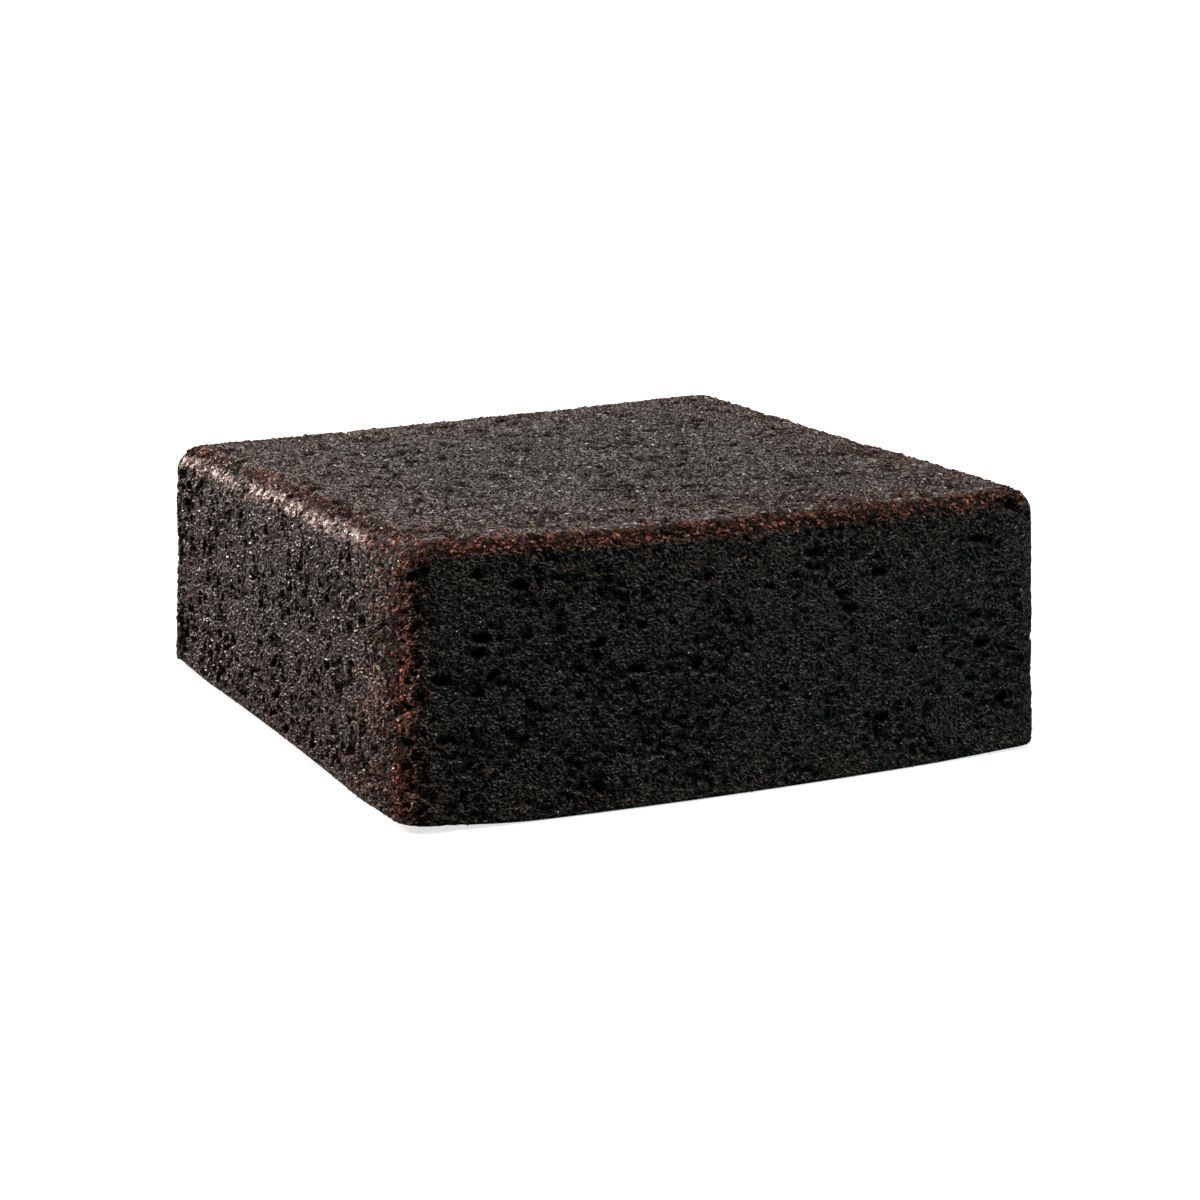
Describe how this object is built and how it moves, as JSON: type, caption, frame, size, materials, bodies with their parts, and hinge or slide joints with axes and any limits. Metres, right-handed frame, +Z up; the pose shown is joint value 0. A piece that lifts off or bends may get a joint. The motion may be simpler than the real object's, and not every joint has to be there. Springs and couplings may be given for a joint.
{
  "type": "chocolate mud cake",
  "caption": "Plain square chocolate mud cake, an uncut straight-sided block with rounded top edges and a porous crumb, to serve, ice or decorate.",
  "frame": {"origin": "middle of the box around the cake, on the flat of its underside", "axes": "+Z up; -Y out of the broad front face; -X out of the left face"},
  "size_m": [0.202, 0.2154, 0.0782],
  "materials": {
    "chocolate_crumb": "very dark brown moist chocolate crumb with fine pores, soft sheen on top and a red-brown glossy skin along the edges"
  },
  "bodies": {
    "root": {"cake": "chocolate_crumb"}
  },
  "joints": []
}
